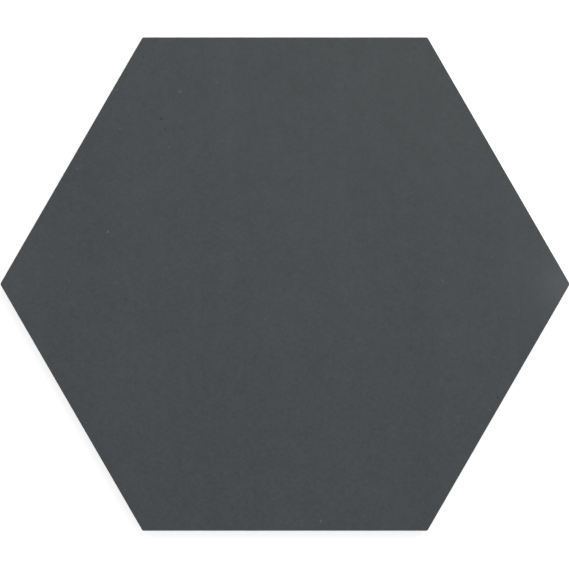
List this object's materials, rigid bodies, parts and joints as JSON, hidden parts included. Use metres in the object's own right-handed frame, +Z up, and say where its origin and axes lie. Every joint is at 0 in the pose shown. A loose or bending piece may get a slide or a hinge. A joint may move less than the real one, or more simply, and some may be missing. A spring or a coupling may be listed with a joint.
{
  "type": "floor tile",
  "caption": "Flat hexagonal floor tile with a plain matt face, a fine arris, upright side lands over a drafted skirt, and a back keyed with a honeycomb of shallow pockets.",
  "frame": {"origin": "under the middle of the tile, on the level that its back rests on", "axes": "+Z up out of the face, +X through a corner, +Y square to a side"},
  "size_m": [0.2306, 0.2, 0.009],
  "materials": {
    "stoneware": "matt unglazed porcelain stoneware, coloured all through, with a fine grain and sparse pale specks"
  },
  "bodies": {
    "root": {"hexagon_tile": "stoneware"}
  },
  "joints": []
}
